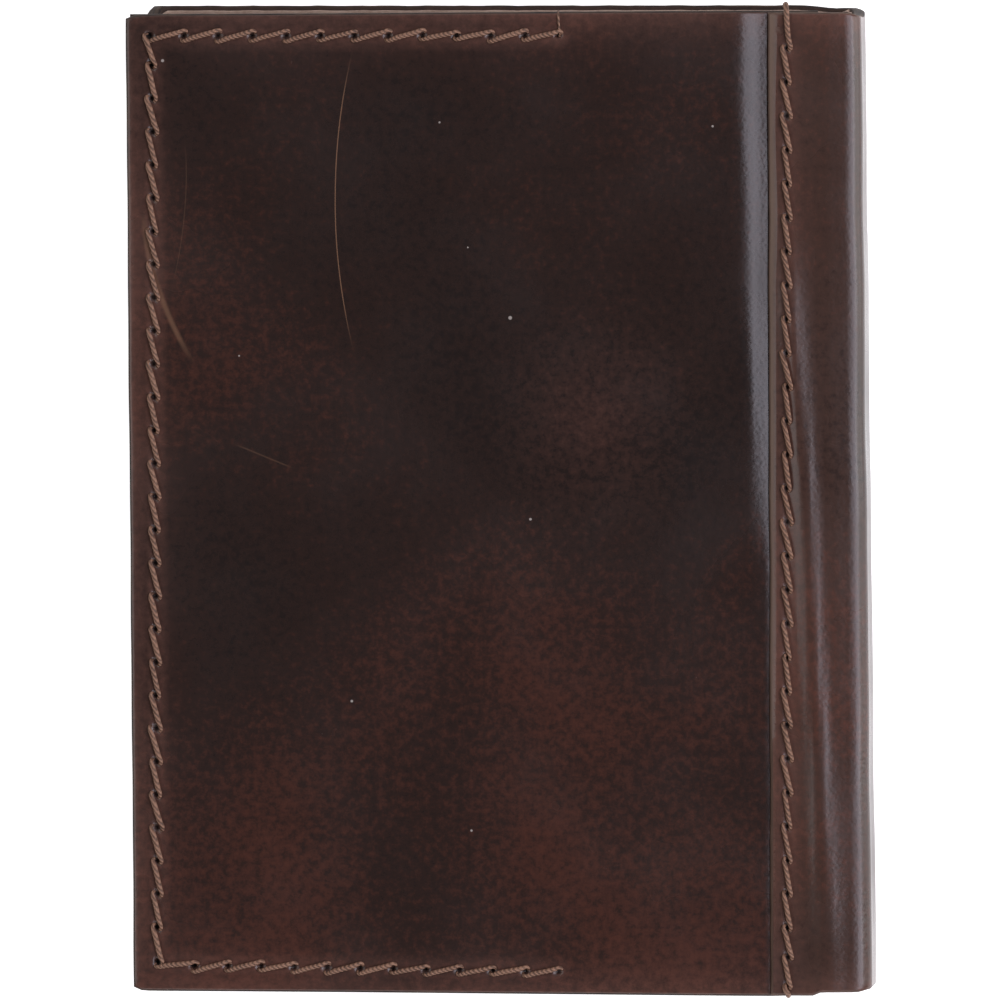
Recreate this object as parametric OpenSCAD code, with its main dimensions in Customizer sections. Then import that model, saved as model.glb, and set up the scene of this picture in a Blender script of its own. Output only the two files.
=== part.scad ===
// Trifold wallet in thick pull-up leather, closed and lying on its back.
// X runs across the wallet (spine at +X), Y up its height, Z through its thickness.

/* [Overall size] */
// Width of the closed wallet
wallet_w = 88; // [84:1:96]
// Height of the wallet
wallet_h = 118; // [108:1:126]
// How far the front cover stands out past the left fold
cover_overhang = 1.5; // [1:0.5:3]

/* [Leather] */
// Thickness of the outer leather
shell_t = 1.6; // [1.5:0.1:1.8]
// Thickness of the lining
lining_t = 0.8; // [0.7:0.1:0.9]
// Thickness of the pocket leather
pocket_t = 0.7; // [0.6:0.1:0.8]
// Thickness of each card slot
slot_t = 0.6; // [0.5:0.1:0.7]
// Outer radius of every fold
fold_r = 4; // [3.6:0.1:4]

/* [Spine seam] */
// Width of the spine leather that laps over the front panel, from the spine's outer face
lap_w = 11.9; // [11:0.1:13]
// How far the front panel dips to pass under the lap
lap_dip = 0.9; // [0.6:0.1:1.1]
// Thickness of the lap at its pared edge
lap_edge_t = 1.0; // [0.8:0.1:1.2]

/* [Pockets] */
// Width of the front pocket, from the cover's free edge
front_pocket_w = 52.5; // [50:0.5:54]
// Height of the lowest card slot's mouth above the bottom edge
card_mouth = 66; // [60:1:70]
// Step from one card slot's mouth to the next
card_step = 11; // [8:1:12]
// Width of the block of card slots
card_w = 60; // [58:1:62]

/* [Stitching] */
// Distance between stitch holes
pitch = 4; // [3.5:0.5:4]
// Distance of the stitching from an edge
seam_margin = 3; // [2.6:0.1:3.4]
// Radius of the outer waxed thread
thread_r = 0.38; // [0.3:0.02:0.4]
// Radius of the inner thread
fine_thread_r = 0.28; // [0.22:0.02:0.3]
// Radius of a stitch hole
hole_r = 0.45; // [0.42:0.01:0.48]

/* [Hidden] */

skin_gap = 0.1;      // between layers that lie on each other
note_gap = 0.5;      // note compartment
body_gap = 0.5;      // between layers of different moving bodies
stand = 0.35;        // height of an inner thread above its leather
groove_t = 0.22;     // depth of the groove an inner thread lies in
cut = 1.5;           // degrees taken off each side of a split at a fold

x_spine = wallet_w / 2;
x_free = -wallet_w / 2;
x_fold = x_free + cover_overhang;
y_top = wallet_h / 2;
inner_r = fold_r - shell_t;
liner_r = inner_r - skin_gap;

// heights of the layers, from the outside of the back upward
z_lining = shell_t + skin_gap;
z_divider = z_lining + lining_t + note_gap;
z_upper = z_divider + pocket_t + skin_gap;
z_middle = z_upper + slot_t + skin_gap;
z_lower = z_middle + slot_t + skin_gap;
z_pocket = z_lower + slot_t + skin_gap;
z_flap_pocket = z_pocket + pocket_t + 2 * stand + skin_gap;
z_flap = z_flap_pocket + pocket_t + skin_gap;
z_front_pocket = z_flap + shell_t + body_gap;
z_front = z_front_pocket + pocket_t + skin_gap;
z_lap = z_front + shell_t - lap_dip + 0.05;

// centres of the four bends
back_bend_x = x_spine - fold_r;
fold_bend_x = x_fold + fold_r;
lap_bend_z = z_lap + shell_t - fold_r;
flap_bend_z = z_flap + shell_t - fold_r;

lap_x = x_spine - lap_w;
lap_stitch_x = lap_x + 2.3;
front_end_x = x_spine - 6;
flap_end_x = 0;
front_column_x = x_free + 2.7;
row_y = y_top - seam_margin;
column_steps = floor(2 * row_y / pitch);
front_row_steps = 12;

back_left_x = fold_bend_x + 3;
back_right_x = back_bend_x - 3;
back_row_steps = floor((back_right_x - back_left_x) / pitch);
card_x = fold_bend_x + 1;
card_right_x = card_x + card_w;
card_bottom = -y_top + 1;
flap_left_x = fold_bend_x + 1.5;

outer_leather = [0.20, 0.14, 0.125];
pocket_leather = [0.24, 0.16, 0.13];
lining_leather = [0.62, 0.50, 0.42];
thread_colour = [0.50, 0.37, 0.29];

function arc(cx, cz, r, from, to, steps = 8) =
    [for (i = [0:steps]) let (a = from + (to - from) * i / steps) [cx + r * cos(a), cz + r * sin(a)]];
function column(x, steps, start) = [for (i = [0:steps]) [x, start + i * pitch]];
function row(x, y, steps) = [for (i = [0:steps]) [x + i * pitch, y]];

column_start = -column_steps * pitch / 2;
column_end = -column_start;
front_left = column(front_column_x, column_steps, column_start);
front_top = row(front_column_x, column_end, front_row_steps);
front_bottom = row(front_column_x, column_start, front_row_steps);
lap_column = column(lap_stitch_x, column_steps - 1, column_start + pitch / 2);
back_left = column(back_left_x, column_steps, column_start);
back_bottom = row(back_left_x, column_start, back_row_steps);
back_right = column(back_left_x + back_row_steps * pitch, column_steps, column_start);
card_seam_x = card_x + 1.5;
card_row_steps = floor((card_w - 3) / pitch);
card_seam_end_x = card_seam_x + card_row_steps * pitch;
card_column_steps = floor((card_mouth - seam_margin - 2) / pitch);
card_left = column(card_seam_x, card_column_steps, column_start);
card_bottom_row = row(card_seam_x, column_start, card_row_steps);
card_right = column(card_seam_end_x, card_column_steps, column_start);
flap_seam_x = flap_left_x + 1.5;
flap_row_steps = floor((flap_end_x - 2 - flap_seam_x) / pitch);
flap_bottom = row(flap_seam_x, column_start, flap_row_steps);
flap_side_steps = 22;
flap_side = column(flap_seam_x + flap_row_steps * pitch, flap_side_steps, column_start);

// an outline in X and Z, drawn out along the wallet's height
module strip(outline, low = -y_top, high = y_top)
    translate([0, high, 0]) rotate([90, 0, 0]) linear_extrude(high - low) polygon(outline);

module plate(x0, x1, y0, y1, z, t)
    translate([x0, y0, z]) cube([x1 - x0, y1 - y0, t]);

// every point of a row starts a hole
module holes(points, z, t)
    for (p = points) translate([p[0], p[1], z - 1]) cylinder(h = t + 2, r = hole_r, $fn = 16);

// the groove that a row of thread lies in
module groove(a, b, z, depth, width)
    translate([min(a[0], b[0]) - width / 2, min(a[1], b[1]) - width / 2, z])
        cube([abs(a[0] - b[0]) + width, abs(a[1] - b[1]) + width, depth]);

// one stitch: a run of thread and the leg that goes through the leather at its start
module stitch(p, q, z, r, leg) {
    d = q - p;
    reach = norm(d) - 2.4 * r;
    translate([p[0], p[1], z]) rotate([0, 90, atan2(d[1], d[0])])
        cylinder(h = reach, r = r, $fn = 16);
    translate([p[0], p[1], leg < 0 ? z + leg : z]) cylinder(h = abs(leg), r = 0.8 * r, $fn = 16);
}

module stitches(points, z, r, leg)
    for (i = [0:len(points) - 2]) stitch(points[i], points[i + 1], z, r, leg);

module thumb_notch(x, y, z, t, r = 9)
    translate([x, y + r * 0.55, z - 1]) cylinder(h = t + 2, r = r, $fn = 64);

module back_panel() color(outer_leather) difference() {
    strip(concat(arc(fold_bend_x, fold_r, fold_r, 225 + cut, 270),
                 arc(back_bend_x, fold_r, fold_r, 270, 315 - cut),
                 arc(back_bend_x, fold_r, inner_r, 315 - cut, 270),
                 arc(fold_bend_x, fold_r, inner_r, 270, 225 + cut)));
    for (points = [back_left, back_bottom, back_right]) {
        holes(points, 0, shell_t);
        groove(points[0], points[len(points) - 1], -0.1, 1, 2.4 * thread_r);
    }
}

module back_lining() color(lining_leather)
    plate(fold_bend_x + 0.2, back_bend_x - 0.2, -y_top, y_top, z_lining, lining_t);

module note_divider() color(pocket_leather)
    plate(fold_bend_x + 0.5, back_bend_x - 0.5, -y_top, y_top - 8, z_divider, pocket_t);

module card_slot(mouth, z) color(pocket_leather) difference() {
    plate(card_x, card_right_x, card_bottom, mouth, z, slot_t);
    thumb_notch(card_right_x - card_w / 2, mouth, z, slot_t);
}
module card_slot_upper() card_slot(-y_top + card_mouth + 3 * card_step, z_upper);
module card_slot_middle() card_slot(-y_top + card_mouth + 2 * card_step, z_middle);
module card_slot_lower() card_slot(-y_top + card_mouth + card_step, z_lower);

module card_pocket() color(pocket_leather) difference() {
    plate(card_x, card_right_x, card_bottom, -y_top + card_mouth, z_pocket, pocket_t);
    thumb_notch(card_right_x - card_w / 2, -y_top + card_mouth, z_pocket, pocket_t);
    for (points = [card_left, card_bottom_row, card_right]) {
        holes(points, z_pocket, pocket_t);
        groove(points[0], points[len(points) - 1], z_pocket + pocket_t - groove_t, 1,
               2.4 * fine_thread_r);
    }
}

module back_stitching() color(thread_colour) {
    z = thread_r + 0.1;
    leg = shell_t - z;
    stitches([for (i = [column_steps:-1:0]) back_left[i]], z, thread_r, leg);
    stitches(back_bottom, z, thread_r, leg);
    stitches(back_right, z, thread_r, leg);
}

module card_stitching() color(thread_colour) {
    z = z_pocket + pocket_t + stand - fine_thread_r;
    leg = -(pocket_t + stand - fine_thread_r);
    stitches([for (i = [card_column_steps:-1:0]) card_left[i]], z, fine_thread_r, leg);
    stitches(card_bottom_row, z, fine_thread_r, leg);
    stitches(card_right, z, fine_thread_r, leg);
}

module spine_wrap() color(outer_leather)
    strip(concat(arc(back_bend_x, fold_r, fold_r, -45 + cut, 0),
                 arc(back_bend_x, lap_bend_z, fold_r, 0, 45 - cut),
                 arc(back_bend_x, lap_bend_z, inner_r, 45 - cut, 0),
                 arc(back_bend_x, fold_r, inner_r, 0, -45 + cut)));

module spine_lining() color(lining_leather)
    strip(concat(arc(back_bend_x, fold_r, liner_r, -40, 0),
                 arc(back_bend_x, lap_bend_z, liner_r, 0, 40),
                 arc(back_bend_x, lap_bend_z, liner_r - lining_t, 40, 0),
                 arc(back_bend_x, fold_r, liner_r - lining_t, 0, -40)));

module front_panel() color(outer_leather) difference() {
    strip([[x_free, z_front], [lap_x - 3.5, z_front], [lap_x - 0.4, z_front - lap_dip],
           [front_end_x, z_front - lap_dip], [front_end_x, z_front - lap_dip + shell_t],
           [lap_x - 0.1, z_front - lap_dip + shell_t], [lap_x - 3.2, z_front + shell_t],
           [x_free, z_front + shell_t]]);
    holes(front_left, z_front, shell_t);
    holes([for (i = [1:front_row_steps]) front_top[i]], z_front, shell_t);
    holes([for (i = [1:front_row_steps]) front_bottom[i]], z_front, shell_t);
    holes(lap_column, z_front - lap_dip, shell_t);
}

module spine_lap() color(outer_leather) difference() {
    strip(concat([[lap_x, z_lap], [lap_x + 0.4, z_lap + lap_edge_t]],
                 arc(back_bend_x, lap_bend_z, fold_r, 90, 45 + cut),
                 arc(back_bend_x, lap_bend_z, inner_r, 45 + cut, 90)));
    holes(lap_column, z_lap, shell_t);
}

module front_pocket() color(pocket_leather) difference() {
    plate(x_free + 0.3, x_free + front_pocket_w, -y_top + 0.3, y_top - 0.3,
          z_front_pocket, pocket_t);
    holes(front_left, z_front_pocket, pocket_t);
    holes([for (i = [1:front_row_steps]) front_top[i]], z_front_pocket, pocket_t);
    holes([for (i = [1:front_row_steps]) front_bottom[i]], z_front_pocket, pocket_t);
}

module front_stitching() color(thread_colour) {
    z = z_front + shell_t + thread_r + 0.02;
    leg = -(shell_t + pocket_t + skin_gap);
    stitches([for (i = [column_steps:-1:0]) front_left[i]], z, thread_r, leg);
    stitches([for (i = [front_row_steps:-1:0]) front_top[i]], z, thread_r, leg);
    stitches(front_bottom, z, thread_r, leg);
}

module lap_stitching() color(thread_colour) {
    z = z_lap + lap_edge_t + 0.62;
    last = len(lap_column) - 1;
    stitches(lap_column, z, thread_r, -(shell_t + 1));
    // where the thread turns over the top and bottom edges
    for (end = [[lap_column[last], 1], [lap_column[0], -1]])
        translate([end[0][0] + 0.1, end[1] * (y_top + thread_r + 0.05), z_lap])
            cylinder(h = lap_edge_t + 0.62, r = thread_r, $fn = 16);
}

module fold_wrap() color(outer_leather)
    strip(concat(arc(fold_bend_x, fold_r, fold_r, 225 - cut, 180),
                 arc(fold_bend_x, flap_bend_z, fold_r, 180, 135 + cut),
                 arc(fold_bend_x, flap_bend_z, inner_r, 135 + cut, 180),
                 arc(fold_bend_x, fold_r, inner_r, 180, 225 - cut)));

module fold_lining() color(lining_leather)
    strip(concat(arc(fold_bend_x, fold_r, liner_r, 220, 180),
                 arc(fold_bend_x, flap_bend_z, liner_r, 180, 140),
                 arc(fold_bend_x, flap_bend_z, liner_r - lining_t, 140, 180),
                 arc(fold_bend_x, fold_r, liner_r - lining_t, 180, 220)));

module flap_panel() color(outer_leather) difference() {
    strip(concat([[flap_end_x, z_flap], [flap_end_x, z_flap + shell_t]],
                 arc(fold_bend_x, flap_bend_z, fold_r, 90, 135 - cut),
                 arc(fold_bend_x, flap_bend_z, inner_r, 135 - cut, 90)));
    holes(flap_bottom, z_flap, shell_t);
    holes([for (i = [1:flap_side_steps]) flap_side[i]], z_flap, shell_t);
}

module flap_pocket() color(pocket_leather) difference() {
    plate(flap_left_x, flap_end_x - 0.3, -y_top + 0.3, y_top - 24, z_flap_pocket, pocket_t);
    holes(flap_bottom, z_flap_pocket, pocket_t);
    holes([for (i = [1:flap_side_steps]) flap_side[i]], z_flap_pocket, pocket_t);
    for (points = [flap_bottom, flap_side])
        groove(points[0], points[len(points) - 1], z_flap_pocket - 1 + groove_t, 1,
               2.4 * fine_thread_r);
}

module flap_stitching() color(thread_colour) {
    z = z_flap_pocket - stand + fine_thread_r;
    leg = stand - fine_thread_r + pocket_t + skin_gap + shell_t;
    stitches(flap_bottom, z, fine_thread_r, leg);
    stitches([for (i = [flap_side_steps:-1:0]) flap_side[i]], z, fine_thread_r, leg);
}

back_panel();
back_lining();
note_divider();
card_slot_upper();
card_slot_middle();
card_slot_lower();
card_pocket();
back_stitching();
card_stitching();
spine_wrap();
spine_lining();
front_panel();
spine_lap();
front_pocket();
front_stitching();
lap_stitching();
fold_wrap();
fold_lining();
flap_panel();
flap_pocket();
flap_stitching();
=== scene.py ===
"""Trifold wallet in pull-up leather: cut flat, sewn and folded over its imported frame."""

from __future__ import annotations

import logging
import math
from dataclasses import dataclass
from enum import Enum
from typing import Callable, Mapping, Sequence

import bpy
import numpy as np
from mathutils import Matrix, Vector

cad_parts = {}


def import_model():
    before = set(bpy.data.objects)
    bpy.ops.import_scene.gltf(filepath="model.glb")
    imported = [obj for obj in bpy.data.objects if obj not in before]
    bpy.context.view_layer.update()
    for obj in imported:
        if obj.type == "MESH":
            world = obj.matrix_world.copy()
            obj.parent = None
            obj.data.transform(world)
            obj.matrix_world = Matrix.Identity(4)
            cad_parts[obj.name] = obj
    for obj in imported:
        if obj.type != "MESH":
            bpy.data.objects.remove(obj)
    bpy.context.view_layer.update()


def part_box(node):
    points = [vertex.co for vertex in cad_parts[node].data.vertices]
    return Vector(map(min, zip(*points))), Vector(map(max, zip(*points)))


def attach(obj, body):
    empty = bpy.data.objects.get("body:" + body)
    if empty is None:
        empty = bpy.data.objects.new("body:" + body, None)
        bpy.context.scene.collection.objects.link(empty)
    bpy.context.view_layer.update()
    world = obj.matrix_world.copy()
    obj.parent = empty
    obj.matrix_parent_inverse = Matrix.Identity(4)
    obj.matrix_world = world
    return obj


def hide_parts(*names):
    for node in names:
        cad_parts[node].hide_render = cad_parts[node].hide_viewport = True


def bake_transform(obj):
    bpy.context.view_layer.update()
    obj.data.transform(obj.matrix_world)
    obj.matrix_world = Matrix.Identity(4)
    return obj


log = logging.getLogger("wallet")
MM = 0.001
TOUCH = 1e-6  # places nearer to each other than this are the same place
HIDE = "hide"  # each leather piece keeps its place in the flat hide under this name
WEAR_AND_SHEEN = "worn"  # how near a point is to a handled edge or a seam, from 0 to 1; it drives rubbed wear and a painted sheen
TONE = "tone"  # 1 where the knife has bared the leather, -1 inside a stitch hole, where shade is painted
DOWN, ACROSS = (0.0, -1.0), (1.0, 0.0)  # the ways a seam runs
Points = np.ndarray
Shape = Callable[[Points, Points, Points], tuple[Points, Points, Points]]
Place = tuple[float, float, float]


class Side(Enum):
    """The surfaces of a cut piece of leather, in the order of its material slots."""

    GRAIN = 0
    FLESH = 1
    EDGE = 2


def srgb(code: str) -> tuple[float, float, float, float]:
    """Turns an sRGB hex colour into linear light.

    Args:
        code: Six hex digits, with or without a leading hash.

    Returns:
        Linear red, green, blue and an alpha of one.
    """
    code = code.lstrip("#")
    parts = [int(code[i : i + 2], 16) / 255 for i in (0, 2, 4)]
    linear = [p / 12.92 if p <= 0.04045 else ((p + 0.055) / 1.055) ** 2.4 for p in parts]
    return (linear[0], linear[1], linear[2], 1.0)


def smooth(t: Points) -> Points:
    """Eases a ramp clipped to 0 and 1."""
    t = np.clip(t, 0.0, 1.0)
    return t * t * (3 - 2 * t)


# ---------------------------------------------------------------- materials


class Graph:
    """The node tree of one material."""

    def __init__(self, name: str) -> None:
        """Makes an empty material of this name."""
        self.material = bpy.data.materials.new(name)
        self.material.use_nodes = True
        self.tree = self.material.node_tree
        self.tree.nodes.clear()

    def add(self, kind: str, inputs: Mapping[str | int, object] | None = None,
            **settings: object) -> bpy.types.Node:
        """Adds a node with its settings and its links.

        Args:
            kind: The node's type, without its leading ShaderNode.
            inputs: A value or a socket for each input, by name or number.
            **settings: The node's own properties.

        Returns:
            The new node.
        """
        node = self.tree.nodes.new("ShaderNode" + kind)
        for key, value in settings.items():
            setattr(node, key, value)
        for key, value in (inputs or {}).items():
            socket = node.inputs[key]
            if isinstance(value, bpy.types.NodeSocket):
                self.tree.links.new(value, socket)
            else:
                socket.default_value = value
        return node

    def finish(self, shader: bpy.types.Node) -> bpy.types.Material:
        """Joins the shader to the output and returns the material."""
        self.add("OutputMaterial", {"Surface": shader.outputs[0]})
        return self.material


@dataclass(frozen=True)
class Scratch:
    """A fine pale line in the grain, bowed along the wallet's height. Lengths are in millimetres."""

    x: float
    y: float
    half: float
    bow: float = 0.0
    slope: float = 0.0
    width: float = 0.13
    strength: float = 0.8
    spread: float = 0.0


@dataclass(frozen=True)
class PullUpLeather:
    """Waxed and oiled pull-up cowhide, plated glossy: near-black where flat, warm where bent or rubbed; the
    rubbed colour carries a painted sheen, and the stitch holes painted shade.
    """

    name: str = "pull_up_cowhide_waxed_glossy"
    deep: str = "#1d1615"
    body: str = "#281c19"
    warm: str = "#472921"
    # rubbed wear, lightened as well with a painted sheen where the edges curve over
    rubbed: str = "#6c4a40"
    bared: str = "#6a5447"
    scored: str = "#86644e"
    dust: str = "#a89f99"
    bloomed: str = "#5a3b33"
    # painted shade for the inside of the stitch holes
    painted_hole_shade: str = "#0b0807"
    roughness: float = 0.23
    dull: float = 0.62
    lower_warmth: float = 0.75
    scratches: tuple[Scratch, ...] = ()
    specks: tuple[Place, ...] = ()
    bloom: Place | None = None

    def distance(self, g: Graph, x: object, y: object, centre: tuple[float, float]) -> bpy.types.NodeSocket:
        """Measures how far a place is from a centre, in millimetres."""
        dx = g.add("Math", {0: x, 1: centre[0]}, operation="SUBTRACT").outputs[0]
        dy = g.add("Math", {0: y, 1: centre[1]}, operation="SUBTRACT").outputs[0]
        both = g.add("CombineXYZ", {"X": dx, "Y": dy}).outputs[0]
        return g.add("VectorMath", {0: both}, operation="LENGTH").outputs["Value"]

    def scratch_mask(self, g: Graph, x: object, y: object, scratch: Scratch) -> bpy.types.NodeSocket:
        """Draws one scratch.

        Args:
            g: The graph it is drawn in.
            x: Socket with the place across the wallet, in millimetres.
            y: Socket with the place up the wallet, in millimetres.
            scratch: The scratch.

        Returns:
            A socket that is 1 in the scratch and 0 away from it.
        """
        up = g.add("Math", {0: y, 1: scratch.y}, operation="SUBTRACT").outputs[0]
        square = g.add("Math", {0: up, 1: up}, operation="MULTIPLY").outputs[0]
        bowed = g.add("Math", {0: square, 1: scratch.bow, 2: scratch.x}, operation="MULTIPLY_ADD").outputs[0]
        line = g.add("Math", {0: up, 1: scratch.slope, 2: bowed}, operation="MULTIPLY_ADD").outputs[0]
        off = g.add("Math", {0: x, 1: line}, operation="SUBTRACT").outputs[0]
        away = g.add("Math", {0: off}, operation="ABSOLUTE").outputs[0]
        inner, outer = scratch.width * 0.3, scratch.width + scratch.spread
        body = g.add("MapRange", {"Value": away, "From Min": inner, "From Max": outer,
                                  "To Min": scratch.strength, "To Max": 0.0}, interpolation_type="SMOOTHSTEP")
        reach = g.add("Math", {0: up}, operation="ABSOLUTE").outputs[0]
        ends = g.add("MapRange", {"Value": reach, "From Min": scratch.half * 0.55, "From Max": scratch.half,
                                  "To Min": 1.0, "To Max": 0.0}, interpolation_type="SMOOTHSTEP")
        return g.add("Math", {0: body.outputs[0], 1: ends.outputs[0]}, operation="MULTIPLY").outputs[0]

    def tone(self, g: Graph, place: object, x: object, y: object) -> bpy.types.NodeSocket:
        """Mixes the dye's clouds, the warmth low on the piece and the rubbed edges, partly a painted sheen,
        into one colour.
        """
        cloud = g.add("TexNoise", {"Vector": place, "Scale": 24.0, "Detail": 3.0, "Roughness": 0.5})
        fleck = g.add("TexNoise", {"Vector": place, "Scale": 950.0, "Detail": 4.0, "Roughness": 0.75})
        both = {0: 0.50, 2: cloud.outputs[0], 3: fleck.outputs[0]}
        mixed = g.add("Mix", both, data_type="FLOAT").outputs[0]
        warmest = 0.16 * self.lower_warmth
        low = g.add("MapRange", {"Value": y, "From Min": -4.0, "From Max": -60.0, "To Min": 0.0,
                                 "To Max": warmest}, interpolation_type="SMOOTHSTEP").outputs[0]
        warmed = g.add("Math", {0: mixed, 1: low}, operation="ADD").outputs[0]
        ramp = g.add("ValToRGB", {0: warmed})
        stops = ramp.color_ramp
        stops.interpolation = "EASE"
        stops.elements[0].position, stops.elements[0].color = 0.36, srgb(self.deep)
        stops.elements[1].position, stops.elements[1].color = 0.71, srgb(self.warm)
        middle = stops.elements.new(0.50)
        middle.color = srgb(self.body)
        # rubbed wear at edges and seams, partly a painted sheen
        worn = g.add("Attribute", attribute_name=WEAR_AND_SHEEN).outputs["Fac"]
        patchy = g.add("MapRange", {"Value": mixed, "From Min": 0.32, "From Max": 0.68, "To Min": 0.35,
                                    "To Max": 1.0}, interpolation_type="SMOOTHSTEP").outputs[0]
        rub_and_sheen = g.add("Math", {0: worn, 1: patchy}, operation="MULTIPLY").outputs[0]
        colour = g.add("Mix", {0: rub_and_sheen, 6: ramp.outputs[0], 7: srgb(self.rubbed)}, data_type="RGBA").outputs[2]
        if self.bloom:
            *centre, radius = self.bloom
            gap = self.distance(g, x, y, centre)
            inner, outer = -0.8 * radius, 0.35 * radius
            ragged = g.add("Math", {0: patchy, 1: inner, 2: gap}, operation="MULTIPLY_ADD").outputs[0]
            glow = g.add("MapRange", {"Value": ragged, "From Min": inner, "From Max": outer, "To Min": 0.6,
                                      "To Max": 0.0}, interpolation_type="SMOOTHSTEP").outputs[0]
            veined = g.add("Math", {0: glow, 1: patchy}, operation="MULTIPLY").outputs[0]
            colour = g.add("Mix", {0: veined, 6: colour, 7: srgb(self.bloomed)}, data_type="RGBA").outputs[2]
        return colour

    def marked(self, g: Graph, colour: object, x: object, y: object) -> bpy.types.NodeSocket:
        """Adds the scratches and the specks of dust to the colour."""
        for scratch in self.scratches:
            mask = self.scratch_mask(g, x, y, scratch)
            colour = g.add("Mix", {0: mask, 6: colour, 7: srgb(self.scored)}, data_type="RGBA").outputs[2]
        for *centre, size in self.specks:
            gap = self.distance(g, x, y, centre)
            dot = g.add("MapRange", {"Value": gap, "From Min": size * 0.6, "From Max": size, "To Min": 0.8,
                                     "To Max": 0.0}).outputs[0]
            colour = g.add("Mix", {0: dot, 6: colour, 7: srgb(self.dust)}, data_type="RGBA").outputs[2]
        return colour

    def build(self) -> bpy.types.Material:
        """Makes the material."""
        g = Graph(self.name)
        place = g.add("Attribute", attribute_name=HIDE).outputs["Vector"]
        scaled = g.add("VectorMath", {0: place, 1: (1000.0, 1000.0, 1000.0)}, operation="MULTIPLY").outputs[0]
        parts = g.add("SeparateXYZ", {0: scaled})
        x, y = parts.outputs[0], parts.outputs[1]
        colour = self.marked(g, self.tone(g, place, x, y), x, y)
        # pores about 0.35 mm apart, and creases a few millimetres long
        pores = g.add("TexVoronoi", {"Vector": place, "Scale": 2500.0}, feature="SMOOTH_F1").outputs[0]
        waves = g.add("TexNoise", {"Vector": place, "Scale": 240.0, "Detail": 3.0}).outputs[0]
        height = g.add("Mix", {0: 0.6, 2: pores, 3: waves}, data_type="FLOAT").outputs[0]
        bump = g.add("Bump", {"Strength": 0.28, "Distance": 0.12 * MM, "Height": height})
        haze = g.add("TexNoise", {"Vector": place, "Scale": 60.0, "Detail": 4.0}).outputs[0]
        glossy, hazy = self.roughness - 0.06, self.roughness + 0.08
        rough = g.add("MapRange", {"Value": haze, "From Min": 0.2, "From Max": 0.8, "To Min": glossy,
                                   "To Max": hazy}, interpolation_type="SMOOTHSTEP").outputs[0]
        tone = g.add("Attribute", attribute_name=TONE).outputs["Fac"]
        bare = g.add("Clamp", {"Value": tone}).outputs[0]
        sunk = g.add("Math", {0: tone, 1: -1.0}, operation="MULTIPLY").outputs[0]
        hole = g.add("Clamp", {"Value": sunk}).outputs[0]
        colour = g.add("Mix", {0: bare, 6: colour, 7: srgb(self.bared)}, data_type="RGBA").outputs[2]
        # painted shade: the colour goes near-black inside the stitch holes
        colour = g.add("Mix", {0: hole, 6: colour, 7: srgb(self.painted_hole_shade)}, data_type="RGBA").outputs[2]
        broken = g.add("Math", {0: bare, 1: hole}, operation="ADD").outputs[0]
        rough = g.add("Mix", {0: broken, 2: rough, 3: self.dull}, data_type="FLOAT").outputs[0]
        shader = g.add("BsdfPrincipled", {"Base Color": colour, "Roughness": rough, "IOR": 1.5,
                                          "Normal": bump.outputs[0]})
        return g.finish(shader)


@dataclass(frozen=True)
class SplitLeather:
    """The fibrous flesh side of a hide, or a suede lining: matt, with short loose fibres."""

    name: str
    dark: str
    light: str
    fibre: float = 1500.0

    def build(self) -> bpy.types.Material:
        """Makes the material."""
        g = Graph(self.name)
        place = g.add("Attribute", attribute_name=HIDE).outputs["Vector"]
        nap = g.add("TexNoise", {"Vector": place, "Scale": self.fibre, "Detail": 4.0,
                                 "Roughness": 0.7}).outputs[0]
        cloud = g.add("TexNoise", {"Vector": place, "Scale": 70.0, "Detail": 4.0}).outputs[0]
        tone = g.add("Mix", {0: 0.5, 2: nap, 3: cloud}, data_type="FLOAT").outputs[0]
        ramp = g.add("ValToRGB", {0: tone})
        ramp.color_ramp.elements[0].position, ramp.color_ramp.elements[0].color = 0.36, srgb(self.dark)
        ramp.color_ramp.elements[1].position, ramp.color_ramp.elements[1].color = 0.64, srgb(self.light)
        bump = g.add("Bump", {"Strength": 0.5, "Distance": 0.1 * MM, "Height": nap})
        shader = g.add("BsdfPrincipled", {"Base Color": ramp.outputs[0], "Roughness": 0.88, "IOR": 1.45,
                                          "Sheen Weight": 0.2, "Sheen Roughness": 0.5,
                                          "Sheen Tint": srgb(self.light), "Normal": bump.outputs[0]})
        return g.finish(shader)


@dataclass(frozen=True)
class BurnishedEdge:
    """A cut edge rubbed down with wax: darker, half glossy, with the hide's layers as fine lines."""

    name: str = "cowhide_edge_burnished"
    dark: str = "#1f1614"
    light: str = "#4d3b2e"

    def build(self) -> bpy.types.Material:
        """Makes the material."""
        g = Graph(self.name)
        place = g.add("Attribute", attribute_name=HIDE).outputs["Vector"]
        layers = g.add("Mapping", {"Vector": place, "Scale": (1.0, 1.0, 14.0)}).outputs[0]
        streak = g.add("TexNoise", {"Vector": layers, "Scale": 260.0, "Detail": 4.0,
                                    "Roughness": 0.65}).outputs[0]
        ramp = g.add("ValToRGB", {0: streak})
        ramp.color_ramp.elements[0].position, ramp.color_ramp.elements[0].color = 0.38, srgb(self.dark)
        ramp.color_ramp.elements[1].position, ramp.color_ramp.elements[1].color = 0.72, srgb(self.light)
        bump = g.add("Bump", {"Strength": 0.3, "Distance": 0.1 * MM, "Height": streak})
        shader = g.add("BsdfPrincipled", {"Base Color": ramp.outputs[0], "Roughness": 0.65, "IOR": 1.5,
                                          "Specular IOR Level": 0.25, "Normal": bump.outputs[0]})
        return g.finish(shader)


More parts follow.
